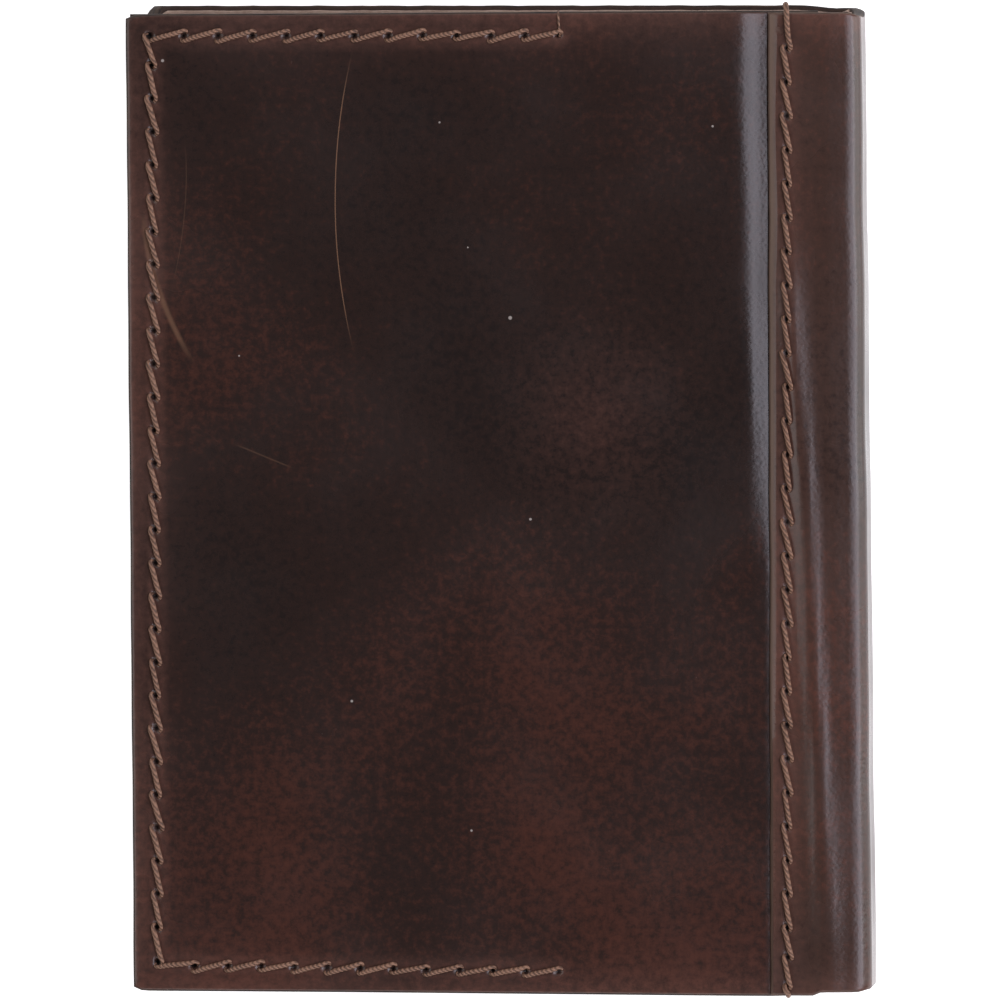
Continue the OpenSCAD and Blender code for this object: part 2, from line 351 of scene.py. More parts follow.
@dataclass(frozen=True)
class WaxedThread:
    """Twisted polyester sewing thread, waxed: two plies wound together, tan, with painted shade in the
    furrows between them.
    """

    name: str = "polyester_thread_twisted_waxed"
    furrow_shade: str = "#493226"
    ply: str = "#8f6b57"
    twist: float = 0.62

    def build(self) -> bpy.types.Material:
        """Makes the material."""
        g = Graph(self.name)
        place = g.add("TexCoord").outputs["Object"]
        # diagonal bands repeat every 2 pi / 10 of the texture's scale, so this gives one groove each twist,
        # coloured with painted shade
        scale = math.tau / (10 * self.twist * MM)
        waves = g.add("TexWave", {"Vector": place, "Scale": scale, "Distortion": 0.8, "Detail": 1.0,
                                  "Detail Scale": 2.0}, wave_type="BANDS", bands_direction="DIAGONAL")
        cloud = g.add("TexNoise", {"Vector": place, "Scale": 420.0, "Detail": 3.0}).outputs[0]
        tone = g.add("Mix", {0: 0.5, 2: waves.outputs[1], 3: cloud}, data_type="FLOAT").outputs[0]
        ramp = g.add("ValToRGB", {0: tone})
        # painted shade: the grooves between the plies are darker
        ramp.color_ramp.elements[0].position, ramp.color_ramp.elements[0].color = 0.15, srgb(self.furrow_shade)
        ramp.color_ramp.elements[1].position, ramp.color_ramp.elements[1].color = 0.66, srgb(self.ply)
        bump = g.add("Bump", {"Strength": 0.6, "Distance": 0.12 * MM, "Height": waves.outputs[1]})
        shader = g.add("BsdfPrincipled", {"Base Color": ramp.outputs[0], "Roughness": 0.62, "IOR": 1.45,
                                          "Normal": bump.outputs[0]})
        return g.finish(shader)


@dataclass(frozen=True)
class LightTable:
    """Opal acrylic sheet lit from below, matt and white."""

    name: str = "opal_acrylic_backlit"
    shade: str = "#f4f4f3"
    glow: float = 0.76

    def build(self) -> bpy.types.Material:
        """Makes the material."""
        g = Graph(self.name)
        shader = g.add("BsdfPrincipled", {"Base Color": srgb(self.shade), "Roughness": 0.9, "IOR": 1.3,
                                          "Emission Color": srgb("#ffffff"), "Emission Strength": self.glow})
        return g.finish(shader)


# ---------------------------------------------------------------- modelling helpers


def clear_selection() -> None:
    """Leaves object mode and deselects everything."""
    if bpy.context.object and bpy.context.object.mode != "OBJECT":
        bpy.ops.object.mode_set(mode="OBJECT")
    bpy.ops.object.select_all(action="DESELECT")


def pick(piece: bpy.types.Object) -> None:
    """Selects this piece alone and makes it the active one."""
    clear_selection()
    piece.select_set(True)
    bpy.context.view_layer.objects.active = piece


def apply_modifier(piece: bpy.types.Object, kind: str, **settings: object) -> None:
    """Adds a modifier with its settings and applies it.

    Args:
        piece: The piece it finishes.
        kind: The modifier's type.
        **settings: The modifier's properties.
    """
    pick(piece)
    modifier = piece.modifiers.new(kind.lower(), kind)
    for key, value in settings.items():
        setattr(modifier, key, value)
    bpy.ops.object.modifier_apply(modifier=modifier.name)


def corners(piece: bpy.types.Object) -> Points:
    """The piece's vertices, one row each."""
    co = np.empty(len(piece.data.vertices) * 3)
    piece.data.vertices.foreach_get("co", co)
    return co.reshape(-1, 3)


def put_corners(piece: bpy.types.Object, co: Points) -> None:
    """Moves the piece's vertices."""
    piece.data.vertices.foreach_set("co", co.ravel())
    piece.data.update()


def smooth_by_angle(piece: bpy.types.Object, degrees: float = 40.0) -> None:
    """Shades the piece smooth but for its sharp corners."""
    pick(piece)
    bpy.ops.object.shade_smooth_by_angle(angle=math.radians(degrees))


def centres(piece: bpy.types.Object) -> Points:
    """The middle of each of the piece's faces, one row each."""
    middle = np.empty(len(piece.data.polygons) * 3)
    piece.data.polygons.foreach_get("center", middle)
    return middle.reshape(-1, 3)


class Part(Enum):
    """What is selected in edit mode, with its place in the selection mode."""

    EDGE = (False, True, False)
    FACE = (False, False, True)


def choose(piece: bpy.types.Object, part: Part, chosen: Points) -> None:
    """Opens a piece in edit mode with some of its edges or faces selected.

    Args:
        piece: The piece.
        part: Edges or faces.
        chosen: True for each one that is selected.
    """
    pick(piece)
    bpy.ops.object.mode_set(mode="EDIT")
    bpy.context.tool_settings.mesh_select_mode = part.value
    bpy.ops.mesh.select_all(action="DESELECT")
    bpy.ops.object.mode_set(mode="OBJECT")
    parts = piece.data.edges if part is Part.EDGE else piece.data.polygons
    parts.foreach_set("select", chosen)
    bpy.ops.object.mode_set(mode="EDIT")


@dataclass
class Sheet:
    """A piece of leather as it is cut, flat: s runs along it, y up it, and its grain side is at height 0."""

    name: str
    s: tuple[float, float]
    y: tuple[float, float]
    thickness: float
    cell: float = 1.6 * MM
    round_start: bool = True
    round_end: bool = True
    edge_radius: float = 0.35 * MM
    notch: tuple[float, float, float] | None = None

    def cut(self) -> bpy.types.Object:
        """Cuts the sheet: a grid of its size, given its thickness, notched and rounded along its free edges.

        Returns:
            The sheet, still flat.
        """
        clear_selection()
        length, height = self.s[1] - self.s[0], self.y[1] - self.y[0]
        along, up = (max(2, round(side / self.cell)) for side in (length, height))
        bpy.ops.mesh.primitive_grid_add(x_subdivisions=along, y_subdivisions=up, size=1.0)
        piece = bpy.context.object
        piece.name = self.name
        piece.data.name = self.name
        bpy.ops.object.mode_set(mode="EDIT")
        bpy.ops.mesh.select_all(action="SELECT")
        bpy.ops.transform.resize(value=(length, height, 1.0))
        bpy.ops.transform.translate(value=(sum(self.s) / 2, sum(self.y) / 2, 0.0))
        bpy.ops.object.mode_set(mode="OBJECT")
        apply_modifier(piece, "SOLIDIFY", thickness=self.thickness, offset=-1.0)
        if self.notch:
            self.cut_notch(piece)
        self.round_edges(piece)
        return piece

    def cut_notch(self, piece: bpy.types.Object) -> None:
        """Cuts the thumb notch out of the sheet's top edge."""
        x, y, radius = self.notch
        clear_selection()
        bpy.ops.mesh.primitive_cylinder_add(vertices=48, radius=radius, depth=20 * MM, location=(x, y, 0.0))
        punch = bpy.context.object
        apply_modifier(piece, "BOOLEAN", operation="DIFFERENCE", object=punch, solver="EXACT")
        bpy.data.objects.remove(punch, do_unlink=True)

    def is_rim(self, mid: Points, tangent: Points) -> Points:
        """Tells which edges run along a free edge of the sheet, at its grain or flesh side.

        Args:
            mid: The middle of each edge.
            tangent: The direction of each edge, of length 1.

        Returns:
            True for each edge that gets rounded.
        """
        flat = np.abs(tangent[:, 2]) < 0.5
        skin = (np.abs(mid[:, 2]) < TOUCH) | (np.abs(mid[:, 2] + self.thickness) < TOUCH)
        rim = (np.abs(mid[:, 1] - self.y[0]) < TOUCH) | (np.abs(mid[:, 1] - self.y[1]) < TOUCH)
        if self.notch:
            x, y, radius = self.notch
            rim |= np.abs(np.hypot(mid[:, 0] - x, mid[:, 1] - y) - radius) < 0.02 * radius
        if self.round_start:
            rim |= np.abs(mid[:, 0] - self.s[0]) < TOUCH
        if self.round_end:
            rim |= np.abs(mid[:, 0] - self.s[1]) < TOUCH
        return flat & skin & rim

    def round_edges(self, piece: bpy.types.Object) -> None:
        """Rounds the free edges over, as an edge beveller leaves them."""
        co = corners(piece)
        pairs = np.array([tuple(e.vertices) for e in piece.data.edges])
        mid = (co[pairs[:, 0]] + co[pairs[:, 1]]) / 2
        run = co[pairs[:, 1]] - co[pairs[:, 0]]
        choose(piece, Part.EDGE, self.is_rim(mid, run / np.linalg.norm(run, axis=1)[:, None]))
        bpy.ops.mesh.bevel(offset=self.edge_radius, segments=3, affect="EDGES", clamp_overlap=True)
        bpy.ops.object.mode_set(mode="OBJECT")


def refine(piece: bpy.types.Object, near: Callable[[Points], Points], cuts: int = 3) -> None:
    """Divides the grain-side faces near some places more finely.

    Args:
        piece: A flat sheet.
        near: Tells for the faces' centres which of them are divided.
        cuts: How many cuts each edge gets.
    """
    middle = centres(piece)
    choose(piece, Part.FACE, near(middle) & (np.abs(middle[:, 2]) < TOUCH))
    bpy.ops.mesh.subdivide(number_cuts=cuts)
    bpy.ops.object.mode_set(mode="OBJECT")


def beside(seams: Sequence[Seam], reach: float = 1.5 * MM) -> Callable[[Points], Points]:
    """Returns a test of which places lie within reach of any of these rows of stitches."""
    return lambda places: np.logical_or.reduce([seam.near(places, reach) for seam in seams])


def keep_hide(piece: bpy.types.Object, sheet: Sheet, seams: Sequence[Seam] = (),
              wear: float = 2.2 * MM) -> None:
    """Writes each vertex's place in the flat hide, how worn it is, which also carries a painted sheen, and
    how bare it is, for the materials.

    Args:
        piece: The sheet, still flat.
        sheet: The sizes it was cut to.
        seams: Its rows of stitches, along which the grain is rubbed and given a painted sheen.
        wear: How far the rubbing reaches from an edge.
    """
    co = corners(piece)
    attribute = piece.data.attributes.new(HIDE, "FLOAT_VECTOR", "POINT")
    attribute.data.foreach_set("vector", co.astype(np.float32).ravel())
    gap = np.minimum(co[:, 1] - sheet.y[0], sheet.y[1] - co[:, 1])
    if sheet.round_start:
        gap = np.minimum(gap, co[:, 0] - sheet.s[0])
    if sheet.round_end:
        gap = np.minimum(gap, sheet.s[1] - co[:, 0])
    # edges and stitch margins get rubbed wear, lightened as well by a painted sheen
    at_edge, at_seam, seam_wear = 0.75, 0.7, 1.3 * MM
    rubbed = at_edge * np.exp(-np.clip(gap, 0, None) / wear)
    for seam in seams:
        along, side = seam.local(co[:, 0], co[:, 1], 0)
        past = np.clip(np.maximum(-along, along - seam.length), 0, None)
        rubbed = np.maximum(rubbed, at_seam * np.exp(-(np.hypot(side, past) / seam_wear) ** 2))
    worn = piece.data.attributes.new(WEAR_AND_SHEEN, "FLOAT", "POINT")
    worn.data.foreach_set("value", rubbed.astype(np.float32))
    piece.data.attributes.new(TONE, "FLOAT", "POINT")


def set_tone(piece: bpy.types.Object, change: Points) -> None:
    """Adds to how bare, or how deep in a hole, each vertex is; depth in a hole sets its painted shade."""
    tone = np.empty(len(change), dtype=np.float32)
    data = piece.data.attributes[TONE].data
    data.foreach_get("value", tone)
    data.foreach_set("value", (tone + change).astype(np.float32))


def dress(piece: bpy.types.Object, thickness: float, sides: Mapping[Side, bpy.types.Material]) -> None:
    """Gives the grain, the flesh side and the cut edges of a flat sheet their materials."""
    piece.data.materials.clear()
    for side in Side:
        piece.data.materials.append(sides[side])
    height = centres(piece)[:, 2]
    normal = np.empty(len(height) * 3)
    piece.data.polygons.foreach_get("normal", normal)
    up = normal.reshape(-1, 3)[:, 2]
    index = np.full(len(height), Side.EDGE.value)
    index[(up > 0.85) & (height > -0.3 * thickness)] = Side.GRAIN.value
    index[(up < -0.85) & (height < -0.7 * thickness)] = Side.FLESH.value
    piece.data.polygons.foreach_set("material_index", index.astype(np.int32))


def fold(piece: bpy.types.Object, shape: Shape) -> None:
    """Takes a flat piece to its place on the wallet."""
    co = corners(piece)
    put_corners(piece, np.stack(shape(co[:, 0], co[:, 1], co[:, 2]), axis=1))


def ripple(a: Points, b: Points, pitch: float, seed: float) -> Points:
    """A gentle unevenness from a few crossed waves, from -1 to 1."""
    k = 2 * math.pi / pitch
    crossed = np.sin(k * a + seed) * np.cos(0.83 * k * b + 1.7 * seed)
    rising = 0.6 * np.sin(0.61 * k * (a + b) + 2.3 * seed)
    falling = 0.4 * np.cos(1.7 * k * (a - 0.7 * b) + seed)
    return (crossed + rising + falling) / 2


# ---------------------------------------------------------------- the wallet's form


@dataclass(frozen=True)
class Plan:
    """The wallet's main places, read from the frame and worked out from it. Lengths are in metres."""

    x_free: float
    x_spine: float
    x_fold: float
    y_top: float
    lap_x: float
    lap_top: float
    front_top: float
    front_low: float
    flap_top: float
    flap_end: float
    shell: float = 1.6 * MM
    bend: float = 4.0 * MM
    soft_bend: float = 1.9 * MM  # the spine's upper bend, which handling has squared up
    pitch: float = 4.0 * MM
    column: int = 28  # stitches up each side
    edge_gap: float = 2.9 * MM  # from the cover's free edge to its column of stitches
    lap_seam: float = 2.1 * MM  # from the lap's pared edge to its stitches

    @classmethod
    def read(cls) -> Plan:
        """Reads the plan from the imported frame."""
        front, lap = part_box("front_panel"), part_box("spine_lap")
        flap, wrap, fold_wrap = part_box("flap_panel"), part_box("spine_wrap"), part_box("fold_wrap")
        return cls(x_free=front[0][0], x_spine=wrap[1][0], x_fold=fold_wrap[0][0], y_top=front[1][1],
                   lap_x=lap[0][0], lap_top=lap[1][2], front_top=front[1][2],
                   front_low=lap[0][2], flap_top=flap[1][2], flap_end=flap[1][0])

    @property
    def seam_y(self) -> float:
        """Height of the top row of stitches above the middle."""
        return self.column / 2 * self.pitch

    @property
    def column_x(self) -> float:
        """Place of the stitch column by the cover's free edge."""
        return self.x_free + self.edge_gap


@dataclass(frozen=True)
class Path:
    """The outer leather's route in X and Z, from the lap's pared edge round to the flap."""

    plan: Plan

    def legs(self) -> list[tuple[float, tuple[float, ...]]]:
        """Lists each leg's length and its shape.

        Returns:
            A length with ("straight", x, z, dx, dz) or ("bend", x, z, radius, angle) for each leg.
        """
        p = self.plan
        r, b = p.soft_bend, p.bend
        quarter = math.pi / 2
        return [
            (p.x_spine - r - p.lap_x, ("straight", p.lap_x, p.lap_top, 1, 0)),
            (r * quarter, ("bend", p.x_spine - r, p.lap_top - r, r, quarter)),
            (p.lap_top - r - b, ("straight", p.x_spine, p.lap_top - r, 0, -1)),
            (b * quarter, ("bend", p.x_spine - b, b, b, 0.0)),
            (p.x_spine - p.x_fold - 2 * b, ("straight", p.x_spine - b, 0.0, -1, 0)),
            (b * quarter, ("bend", p.x_fold + b, b, b, -quarter)),
            (p.flap_top - 2 * b, ("straight", p.x_fold, b, 0, 1)),
            (b * quarter, ("bend", p.x_fold + b, p.flap_top - b, b, -2 * quarter)),
            (p.flap_end - p.x_fold - b, ("straight", p.x_fold + b, p.flap_top, 1, 0)),
        ]

    def start_of(self, leg: int) -> float:
        """Distance along the route at which a leg starts."""
        return sum(length for length, _ in self.legs()[:leg])

    def place(self, s: Points, h: Points) -> tuple[Points, Points]:
        """Takes distances along the route, and heights above the grain, to X and Z."""
        x, z = np.zeros_like(s), np.zeros_like(s)
        legs = self.legs()
        start = 0.0
        for number, (length, (kind, *facts)) in enumerate(legs):
            last = number == len(legs) - 1
            here = (s >= start - (1 if number == 0 else 0)) & ((s <= start + length) | last)
            t = s[here] - start
            if kind == "straight":
                x0, z0, dx, dz = facts
                x[here] = x0 + dx * t - dz * h[here]
                z[here] = z0 + dz * t + dx * h[here]
            else:
                cx, cz, radius, angle = facts
                turned = angle - t / radius
                x[here] = cx + (radius + h[here]) * np.cos(turned)
                z[here] = cz + (radius + h[here]) * np.sin(turned)
            start += length
        return x, z


@dataclass(frozen=True)
class HandCut:
    """How the hand-cut wallet strays from its plan: it leans a little and is taller by the spine."""

    plan: Plan
    growth: float = 0.006

    def lean(self, x: Points) -> Points:
        """The lean of an upright line at each x, as a slope."""
        stops = [-44.0, -41.3, 32.0, 34.4, 39.0, 44.0]
        slopes = [0.0070, 0.0050, 0.0036, 0.0012, 0.0045, 0.0125]
        return np.interp(x, np.array(stops) * MM, slopes)

    def __call__(self, x: Points, y: Points, z: Points) -> tuple[Points, Points, Points]:
        """Moves points of the planned wallet to where the made one has them."""
        width = self.plan.x_spine - self.plan.x_free
        taller = 1 - self.growth * (1 - smooth((x - self.plan.x_free) / width))
        jag = 0.07 * MM * ripple(y, x, 23 * MM, 1.3)
        return x - self.lean(x) * y + jag * np.abs(x) / self.plan.x_spine, y * taller, z


@dataclass(frozen=True)
class OuterForm:
    """Takes the flat outer strip, or a lining laid inside it, round the folds."""

    plan: Plan
    pared: float = 0.55 * MM  # how much thinner the lap gets toward its edge
    roll_drop: float = 0.36 * MM
    ridge: float = 0.018 * MM
    swell: float = 0.08 * MM
    flap_drop: float = 1.4 * MM
    foot_step: float = 0.42 * MM
    corner_cut: float = 0.34 * MM

    def crown(self, s: Points, y: Points) -> Points:
        """Height of the ridge down the lap, by the stitches at the top and nearer the spine at the foot."""
        heights_up = np.array([-58.0, -47.6, -31.0, -14.0, 2.3, 23.7, 40.0]) * MM
        middle = np.interp(y, heights_up, np.array([6.8, 6.45, 5.7, 4.8, 4.1, 2.5, 2.4]) * MM)
        width = np.interp(y, heights_up, np.array([1.1, 1.1, 1.1, 1.15, 1.25, 1.5, 2.2]) * MM)
        rise = np.interp(y, heights_up, np.array([0.17, 0.32, 0.47, 0.50, 0.56, 0.42, 0.06]) * MM)
        return rise * np.exp(-(((s - middle) / width) ** 2))

    def relief(self, path: Path, s: Points, y: Points) -> Points:
        """How far the handled spine stands out of its plan."""
        wall, wall_end = path.start_of(2), path.start_of(3)
        on_bend = smooth((s - 6.2 * MM) / (5.4 * MM))
        roll = self.roll_drop * on_bend * (1 - smooth((s - wall) / (wall_end - wall)))
        ridges = self.ridge * np.sin(2 * math.pi * (s / (2.3 * MM) + 0.25 * np.sin(y / (21 * MM))))
        on_spine = smooth((s - 3.2 * MM) / (2 * MM)) * smooth((wall_end - s) / (5 * MM))
        swell = self.swell * ripple(s, y, 31 * MM, 0.4) * on_spine
        return self.crown(s, y) + ridges * on_spine + swell - roll

    def trim(self, path: Path, s: Points, y: Points) -> Points:
        """Where the knife has left the strip's long edges."""
        # the flap's top edge is cut lower than the back's, so that the cover hides it
        lower = smooth((s - path.start_of(5) - 3.5 * MM) / (3 * MM)) * smooth((y - 20 * MM) / (30 * MM))
        uneven = 0.045 * MM * ripple(s, y, 4.3 * MM, 0.9) * smooth((np.abs(y) - 50 * MM) / (8 * MM))
        y = y - self.flap_drop * lower + uneven * smooth((s - path.start_of(3)) / (2 * MM))
        # the spine's foot is cut a step shorter than the lap's, and its corners are rounded off
        y = y + self.foot_step * smooth((s - 4.9 * MM) / (1.2 * MM)) * smooth((-y - 50 * MM) / (6 * MM))
        past_lap = smooth((s - path.start_of(1) + 0.6 * MM) / (3.0 * MM))
        corner = past_lap * (1 - smooth((s - path.start_of(4)) / (4 * MM)))
        return y - self.corner_cut * np.sign(y) * corner * smooth((np.abs(y) - 48 * MM) / (8 * MM))

    def __call__(self, s: Points, y: Points, h: Points) -> tuple[Points, Points, Points]:
        """Folds flat places (s, y, h) into the row frame."""
        p = self.plan
        path = Path(p)
        # the lap is pared thinner to its edge and lies in the front panel's dip
        near_edge = smooth(1 - s / path.start_of(1))
        h = h - self.pared * near_edge * smooth((h + p.shell) / (0.9 * p.shell))
        x, z = path.place(s, h + self.relief(path, s, y))
        return HandCut(p, growth=0.0)(x, self.trim(path, s, y), z)


@dataclass(frozen=True)
class FrontForm:
    """Takes the flat front panel to its place: nearly flat, and dipping to pass under the lap."""

    plan: Plan
    low_half: float = 0.60 * MM  # how far the panel sinks in its lower half
    edge_drop: float = 0.22 * MM
    top_corner: float = 0.5 * MM
    foot_corner: float = 0.4 * MM
    foot_step: float = 0.45 * MM

    def top(self, x: Points, y: Points) -> Points:
        """Height of the panel's grain side."""
        p = self.plan
        lowered = self.low_half * (1 - smooth((y + 30 * MM) / (60 * MM)))
        depth = p.front_top - p.front_low - lowered
        # the dip beside the lap gets wider and deeper toward the top
        heights_up = np.array([-14.0, 2.0, 18.0, 45.0]) * MM
        reach = np.interp(y, heights_up, np.array([1.8, 2.3, 3.0, 4.2]) * MM)
        at_lap = np.minimum(np.interp(y, heights_up, np.array([0.04, 0.42, 0.62, 0.80]) * MM), depth)
        run = smooth(np.clip((x - p.lap_x + reach) / reach, 0, 1) ** 1.2)
        dip = at_lap * run + (depth - at_lap) * smooth((x - p.lap_x - 0.6 * MM) / (1.2 * MM))
        wave = 0.08 * MM * ripple(x, y, 64 * MM, 0.9) + 0.02 * MM * ripple(x, y, 17 * MM, 0.7)
        free_edge = self.edge_drop * np.exp(-(x - p.x_free) / (3.2 * MM))
        return p.front_top - lowered - dip + wave * smooth((p.lap_x - x) / (6 * MM)) - free_edge

    def __call__(self, x: Points, y: Points, h: Points) -> tuple[Points, Points, Points]:
        """Takes flat places to the row frame, with the free corners rounded off."""
        past, at_top, at_foot = x - self.plan.x_free, y > 57 * MM, y < -57 * MM
        y = y - self.top_corner * np.exp(-past / (0.9 * MM)) * at_top
        y = y + self.foot_corner * np.exp(-past / (0.5 * MM)) * at_foot
        # under the lap the foot is cut as short as the spine's
        y = y + self.foot_step * smooth((x - self.plan.lap_x - 4.2 * MM) / (1.0 * MM)) * at_foot
        return HandCut(self.plan)(x, y, self.top(x, y) + h)


@dataclass(frozen=True)
class FlatForm:
    """Takes a flat inner piece to its height. Its grain side looks up, or down where it is on the flap."""

    plan: Plan
    height: float
    face_down: bool = False

    def __call__(self, x: Points, y: Points, h: Points) -> tuple[Points, Points, Points]:
        """Takes flat places to the row frame."""
        wave = 0.05 * MM * ripple(x, y, 40 * MM, self.height / MM)
        if self.face_down:
            return HandCut(self.plan)(-x, y, self.height - h + wave)
        return HandCut(self.plan)(x, y, self.height + h + wave)


# ---------------------------------------------------------------- stitching


@dataclass(frozen=True)
class Seam:
    """A row of saddle stitches on a flat piece: its first hole, its direction and its number of stitches."""

    start: tuple[float, float]
    along: tuple[float, float]
    count: int
    pitch: float = 4.0 * MM

    @classmethod
    def between(cls, start: tuple[float, float], end: tuple[float, float], count: int) -> Seam:
        """Lays a row of this many stitches from one hole to another."""
        dx, dy = end[0] - start[0], end[1] - start[1]
        length = math.hypot(dx, dy)
        return cls(start, (dx / length, dy / length), count, length / count)

    @property
    def length(self) -> float:
        """Distance from the first hole to the last."""
        return self.count * self.pitch

    def hole(self, index: int) -> tuple[float, float]:
        """Place of a hole."""
        (x, y), (ax, ay) = self.start, self.along
        return (x + ax * self.pitch * index, y + ay * self.pitch * index)

    def local(self, x: Points, y: Points, index: int) -> tuple[Points, Points]:
        """Distances along the row and to its side, from a hole."""
        hx, hy = self.hole(index)
        ax, ay = self.along
        return (x - hx) * ax + (y - hy) * ay, -(x - hx) * ay + (y - hy) * ax

    def near(self, centre: Points, reach: float) -> Points:
        """Tells which points lie near the row."""
        along, side = self.local(centre[:, 0], centre[:, 1], 0)
        return (np.abs(side) < reach) & (along > -reach) & (along < self.length + reach)


@dataclass(frozen=True)
class Awl:
    """The marks that sewing leaves in the grain: slanted holes with raised lips and painted shade inside, and
    the thread's bed.
    """

    hole_depth: float = 0.55 * MM
    lip: float = 0.01 * MM
    bed: float = 0.08 * MM

    def press(self, piece: bpy.types.Object, seams: Sequence[Seam]) -> None:
        """Marks a flat sheet's grain side along its seams, and paints shade into its holes.

        Args:
            piece: The sheet, divided finely near the seams.
            seams: Its rows of stitches.
        """
        co = corners(piece)
        top = np.flatnonzero(co[:, 2] > -1e-6)
        x, y = co[top, 0], co[top, 1]
        height, hole_shade_amount = np.zeros(len(top)), np.zeros(len(top))
        for seam in seams:
            along, side = seam.local(x, y, 0)
            inside = smooth((along + 0.3 * MM) / (0.3 * MM)) * smooth((seam.length - along) / (0.3 * MM))
            height -= self.bed * inside * np.exp(-((side / (0.42 * MM)) ** 2))
            for index in range(seam.count + 1):
                along, side = seam.local(x, y, index)
                slanted = along * 0.94 + side * 0.34
                across = side * 0.94 - along * 0.34
                pit = np.exp(-((slanted / (0.33 * MM)) ** 2) - (across / (0.24 * MM)) ** 2)
                ring = np.exp(-(((np.hypot(along, side) - 0.95 * MM) / (0.36 * MM)) ** 2))
                height += self.lip * ring - self.hole_depth * pit
                # painted shade: the deeper in the hole, the darker its colour
                hole_shade_amount += 1.2 * pit
        co[top, 2] += np.clip(height, -1.2 * self.hole_depth, None)
        put_corners(piece, co)
        tone = np.zeros(len(co))
        tone[top] = -np.clip(hole_shade_amount, 0, 1)
        set_tone(piece, tone)


def tube(route: Sequence[Place], radius: float, shares: Sequence[float] | None = None, segments: int = 4,
         sides: int = 3) -> bpy.types.Object:
    """Models a length of thread along a route.

    Args:
        route: Points along its middle, flat-laid.
        radius: The thread's radius.
        shares: Its thickness at each point as a share of the radius, where it varies.
        segments: How finely its length is divided.
        sides: How finely its girth is divided.

    Returns:
        The thread as a mesh.
    """
    clear_selection()
    bpy.ops.curve.primitive_nurbs_path_add()
    curve = bpy.context.object
    spline = curve.data.splines[0]
    spline.points.add(max(0, len(route) - len(spline.points)))
    for point, place, share in zip(spline.points, route, shares or [1.0] * len(route)):
        point.co = (*place, 1.0)
        point.radius = share
    spline.use_endpoint_u = True
    spline.order_u = 3
    curve.data.resolution_u = segments
    curve.data.bevel_depth = radius
    curve.data.bevel_resolution = sides
    curve.data.use_fill_caps = True
    bpy.ops.object.convert(target="MESH")
    return bpy.context.object


def join(pieces: Sequence[bpy.types.Object], name: str) -> bpy.types.Object:
    """Joins pieces into the first of them, under this name."""
    clear_selection()
    for piece in pieces:
        piece.select_set(True)
    bpy.context.view_layer.objects.active = pieces[0]
    bpy.ops.object.join()
    pieces[0].name = name
    pieces[0].data.name = name
    return pieces[0]


@dataclass
class Thread:
    """Waxed thread in saddle stitch. Each stitch comes up beside one hole and goes down beside the next."""

    radius: float = 0.32 * MM
    seed: int = 7
    swing: float = 1.0

    def one(self, pitch: float) -> bpy.types.Object:
        """Models one stitch along X from its hole at the origin.

        Args:
            pitch: Distance between the holes.

        Returns:
            The stitch as a mesh.
        """
        # the thread's middle, along and to the side in millimetres at a pitch of 4 and up in radii, and its
        # thickness as a share of the radius
        run = [(-0.32, -0.30, -2.0, 0.60), (-0.30, -0.62, 0.00, 0.62), (-0.04, -0.82, 0.45, 0.68),
               (0.40, -0.68, 0.75, 0.86), (0.82, -0.42, 0.90, 0.98), (1.5, -0.19, 0.95, 1.0),
               (2.3, 0.06, 0.95, 1.0), (3.1, 0.31, 0.90, 1.0), (3.55, 0.50, 0.78, 0.90),
               (3.95, 0.76, 0.55, 0.74), (4.30, 0.72, 0.20, 0.66), (4.44, 0.42, -0.4, 0.60),
               (4.40, 0.25, -2.0, 0.55)]
        swing = self.swing * min(1.0, self.radius / (0.32 * MM))
        route = [(a * (pitch / 4.0), b * MM * swing, h * self.radius) for a, b, h, _ in run]
        return tube(route, self.radius, [share for *_, share in run], segments=2, sides=2)

    def sew(self, name: str, seams: Sequence[Seam], skip: Sequence[tuple[int, int]] = ()) -> bpy.types.Object:
        """Sews along rows of holes in a flat sheet.

        Args:
            name: The new piece's name.
            seams: The rows.
            skip: Stitches left out, as (row, stitch).

        Returns:
            All the stitches as one flat-laid piece.
        """
        chance = np.random.RandomState(self.seed)
        master = self.one(seams[0].pitch)
        base = corners(master)
        copies = []
        for row, seam in enumerate(seams):
            for index in range(seam.count):
                turn, swell = chance.uniform(-0.05, 0.05), chance.uniform(0.93, 1.07)
                slide = chance.uniform(-0.07, 0.07)
                if (row, index) in skip:
                    continue
                stitch = master.copy()
                stitch.data = master.data.copy()
                bpy.context.collection.objects.link(stitch)
                half = seam.pitch / 2
                a = base[:, 0] * seam.pitch / seams[0].pitch - half
                b = base[:, 1] * swell + turn * a + slide * MM
                a = a + half
                hx, hy = seam.hole(index)
                ax, ay = seam.along
                place = (hx + a * ax - b * ay, hy + a * ay + b * ax, base[:, 2] * swell)
                put_corners(stitch, np.stack(place, axis=1))
                copies.append(stitch)
        bpy.data.objects.remove(master, do_unlink=True)
        piece = join(copies, name)
        smooth_by_angle(piece, 60)
        return piece


# ---------------------------------------------------------------- sub-assemblies


